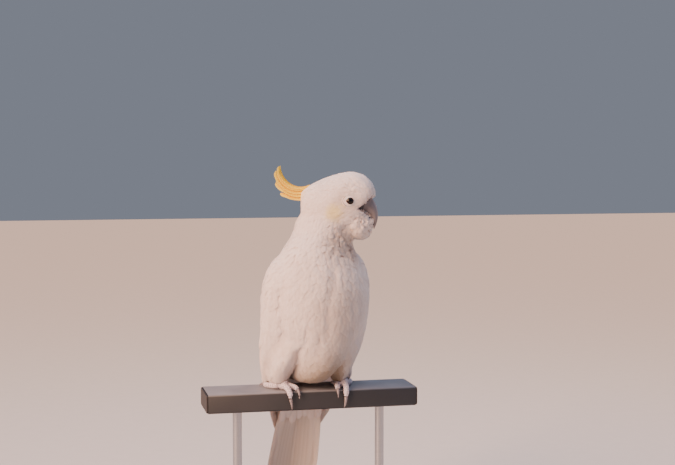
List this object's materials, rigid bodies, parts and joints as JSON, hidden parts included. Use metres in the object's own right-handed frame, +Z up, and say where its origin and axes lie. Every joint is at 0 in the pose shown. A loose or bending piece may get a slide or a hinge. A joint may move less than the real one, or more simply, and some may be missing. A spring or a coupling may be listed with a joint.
{
  "type": "perched cockatoo display model",
  "caption": "Life-size white cockatoo with a swept yellow crest, head turned aside, gripping a short length of flat rail on a plain stand.",
  "frame": {"origin": "middle of the stand's base plate, on its underside", "axes": "+Z up; the rail runs along X; the bird's breast faces -Y, turned 7.5 degrees, with its left side towards +X"},
  "size_m": [0.28, 0.243, 0.5144],
  "materials": {
    "plumage": "white body feathers with a warm bloom, matt",
    "crest": "sulphur-yellow feathers, matt",
    "bill": "dark grey horn with a dusty bloom",
    "eye": "dark brown, wet gloss",
    "leg_skin": "pinkish-grey scaled skin, dry",
    "claw": "grey horn, slightly polished",
    "rail": "warm grey powder coat, satin",
    "rod": "brushed steel",
    "base": "dark stained wood, satin lacquer"
  },
  "bodies": {
    "root": {"bill_lower": "bill", "bill_upper": "bill", "claw_left_1": "claw", "claw_left_2": "claw", "claw_left_3": "claw", "claw_left_4": "claw", "claw_right_1": "claw", "claw_right_2": "claw", "claw_right_3": "claw", "claw_right_4": "claw", "crest_feather_1": "crest", "crest_feather_2": "crest", "crest_feather_3": "crest", "crest_feather_4": "crest", "eye_left": "eye", "eye_right": "eye", "foot_left": "leg_skin", "foot_right": "leg_skin", "head": "plumage", "neck": "plumage", "perch_rail": "rail", "stand_base": "base", "stand_rod_left": "rod", "stand_rod_right": "rod", "tail": "plumage", "thigh_left": "plumage", "thigh_right": "plumage", "toe_left_1": "leg_skin", "toe_left_2": "leg_skin", "toe_left_3": "leg_skin", "toe_left_4": "leg_skin", "toe_right_1": "leg_skin", "toe_right_2": "leg_skin", "toe_right_3": "leg_skin", "toe_right_4": "leg_skin", "trunk": "plumage", "wing_left": "plumage", "wing_right": "plumage"}
  },
  "joints": []
}
